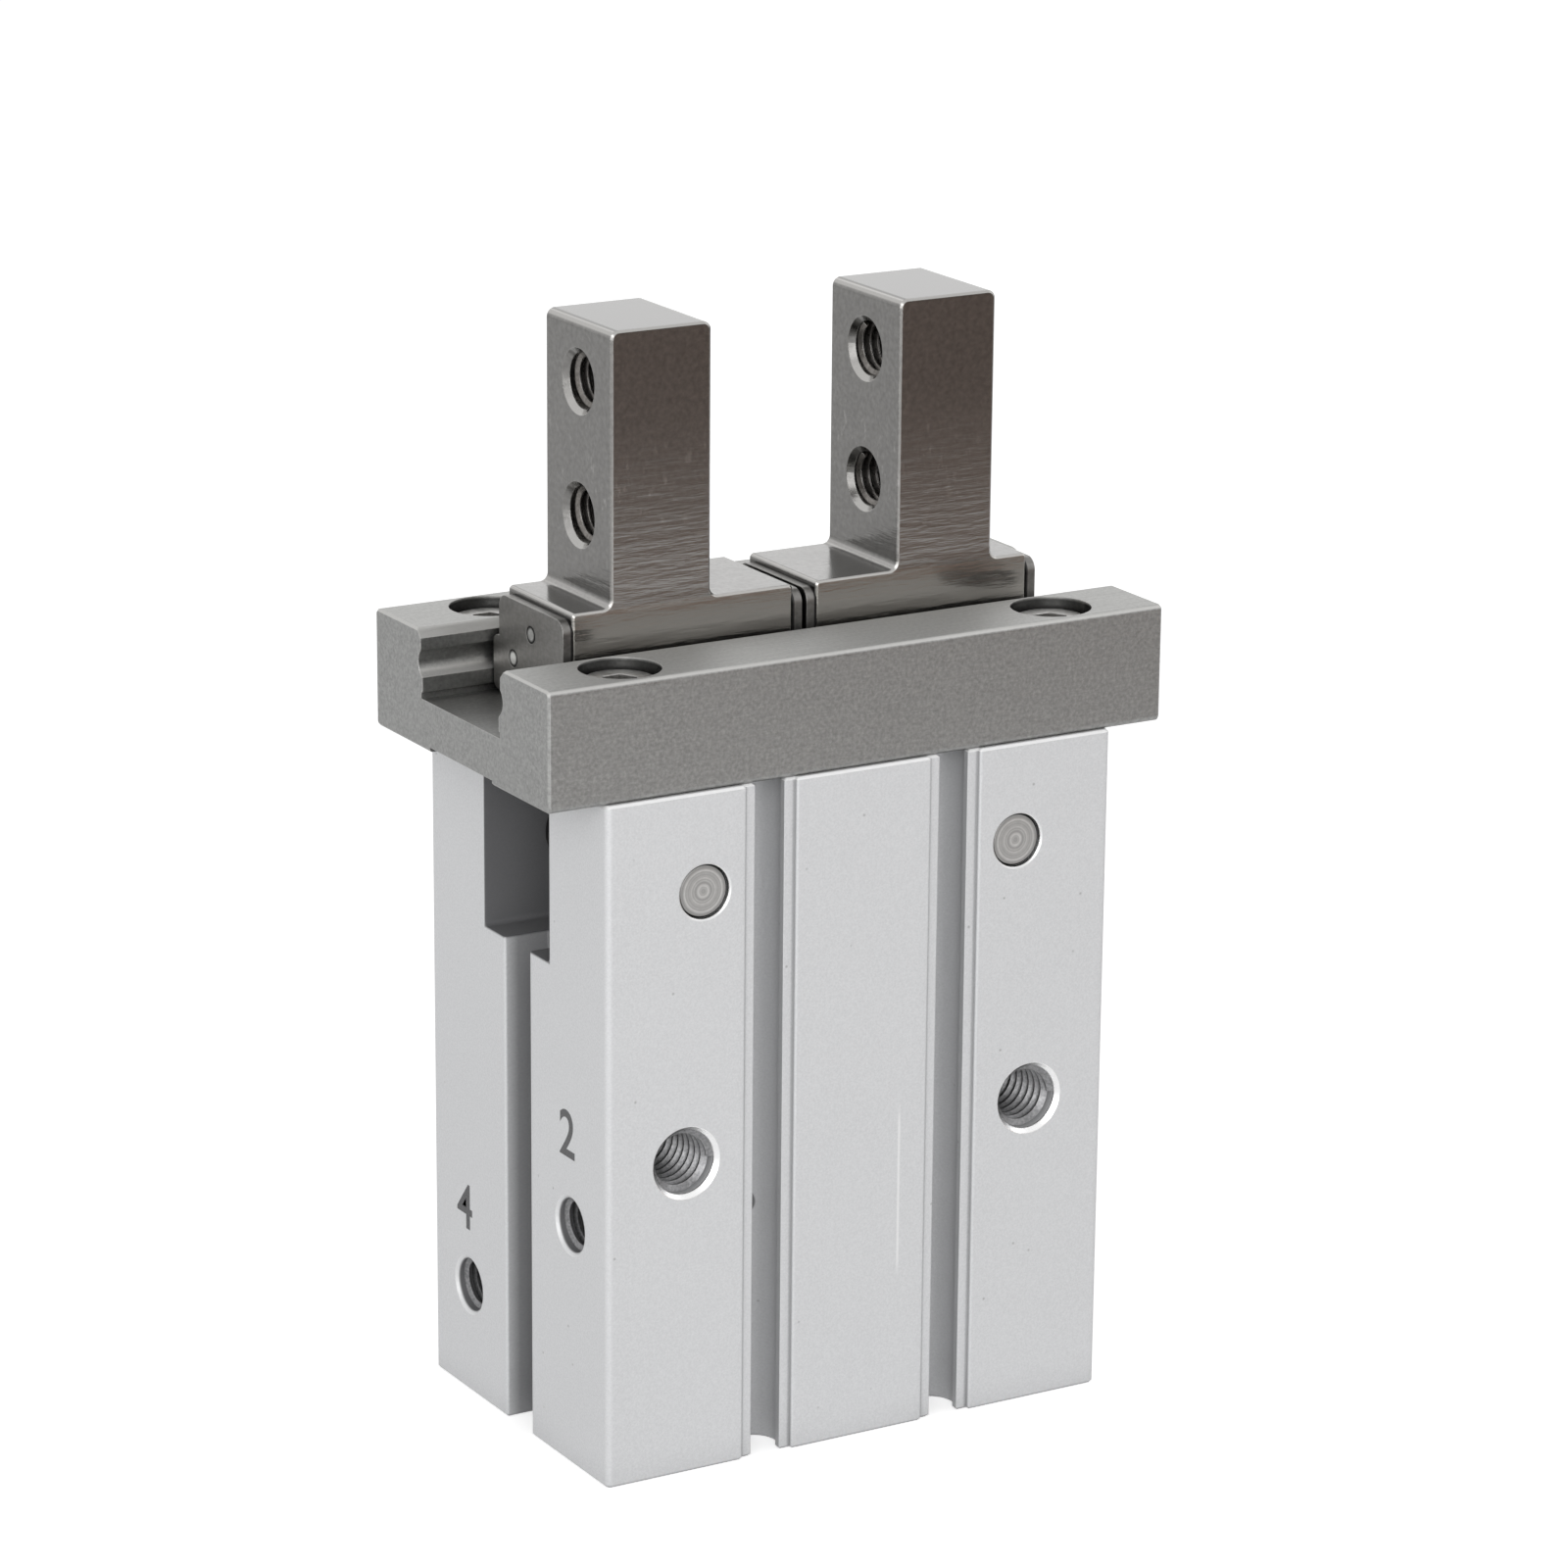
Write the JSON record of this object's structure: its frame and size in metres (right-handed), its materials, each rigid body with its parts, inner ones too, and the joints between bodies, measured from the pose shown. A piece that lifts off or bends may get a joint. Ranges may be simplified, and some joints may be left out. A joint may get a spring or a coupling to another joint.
{
  "type": "pneumatic parallel gripper",
  "caption": "Double-acting air gripper: a piston and rocking levers drive opposed fingers along a ball-guided rail on a grooved block body.",
  "frame": {"origin": "centre of the body's underside", "axes": "+Z towards the finger tips, X along the jaw travel with the ports on the -X end, -Y the front face"},
  "size_m": [0.063, 0.0336, 0.1027],
  "materials": {
    "anodised_aluminium": "matt silver anodised",
    "ground_stainless": "ground and satin",
    "finger_stainless": "milled, darker satin",
    "plate_stainless": "rolled sheet, satin",
    "screw_steel": "plain stainless",
    "pin_steel": "ground, turned ends",
    "lever_steel": "hardened and blasted",
    "ball_steel": "polished",
    "spring_steel": "phosphated",
    "cap_aluminium": "turned and anodised",
    "piston_aluminium": "turned",
    "rod_steel": "hard chromed",
    "bronze_bush": "sintered, oiled",
    "seal_rubber": "matt black",
    "buffer_urethane": "cast, brown",
    "bonded_magnet": "matt"
  },
  "bodies": {
    "housing": {"body": "anodised_aluminium", "guide": "ground_stainless", "guide_screws": "screw_steel", "dowel_pins": "pin_steel", "lever_shaft_left": "pin_steel", "lever_shaft_right": "pin_steel", "lever_washers": "pin_steel", "head_cap": "cap_aluminium", "cap_gasket": "seal_rubber", "retaining_ring": "spring_steel", "rod_bush": "bronze_bush", "rod_seal": "seal_rubber", "rod_buffer": "buffer_urethane", "head_buffer": "buffer_urethane"},
    "piston_assembly": {"piston": "piston_aluminium", "piston_rod": "rod_steel", "piston_screw": "screw_steel", "piston_seal": "seal_rubber", "piston_magnet": "bonded_magnet", "drive_pin": "pin_steel"},
    "left_lever": {"lever_left": "lever_steel"},
    "right_lever": {"lever_right": "lever_steel"},
    "left_finger": {"finger_left": "finger_stainless", "end_plate_left_inner": "plate_stainless", "end_plate_left_outer": "plate_stainless", "plate_rivets_left": "pin_steel"},
    "right_finger": {"finger_right": "finger_stainless", "end_plate_right_inner": "plate_stainless", "end_plate_right_outer": "plate_stainless", "plate_rivets_right": "pin_steel"},
    "left_balls": {"balls_left": "ball_steel"},
    "right_balls": {"balls_right": "ball_steel"}
  },
  "joints": [
    {"name": "finger_left_slide", "type": "slide", "parent": "housing", "child": "left_finger", "axis": [-1, 0, 0], "range_m": [0, 0.007]},
    {"name": "finger_right_slide", "type": "slide", "parent": "housing", "child": "right_finger", "axis": [1, 0, 0], "range_m": [0, 0.007]},
    {"name": "piston_slide", "type": "slide", "parent": "housing", "child": "piston_assembly", "axis": [0, 0, 1], "range_m": [0, 0.00717]},
    {"name": "lever_left_turn", "type": "hinge", "parent": "housing", "child": "left_lever", "pos_m": [-0.0162, 0, 0.0545], "axis": [0, -1, 0], "range_deg": [0, 24.96]},
    {"name": "lever_right_turn", "type": "hinge", "parent": "housing", "child": "right_lever", "pos_m": [0.0162, 0, 0.0545], "axis": [0, 1, 0], "range_deg": [0, 24.96]},
    {"name": "ball_row_left_slide", "type": "slide", "parent": "housing", "child": "left_balls", "axis": [-1, 0, 0], "range_m": [0, 0.0035]},
    {"name": "ball_row_right_slide", "type": "slide", "parent": "housing", "child": "right_balls", "axis": [1, 0, 0], "range_m": [0, 0.0035]}
  ],
  "couplings": [
    {"joint": "finger_right_slide", "follows": "finger_left_slide", "ratio": 1},
    {"joint": "piston_slide", "follows": "finger_left_slide", "ratio": 1.0242},
    {"joint": "lever_left_turn", "follows": "finger_left_slide", "rad_per_m": 62.219},
    {"joint": "lever_right_turn", "follows": "finger_left_slide", "rad_per_m": 62.219},
    {"joint": "ball_row_left_slide", "follows": "finger_left_slide", "ratio": 0.5},
    {"joint": "ball_row_right_slide", "follows": "finger_left_slide", "ratio": 0.5}
  ]
}
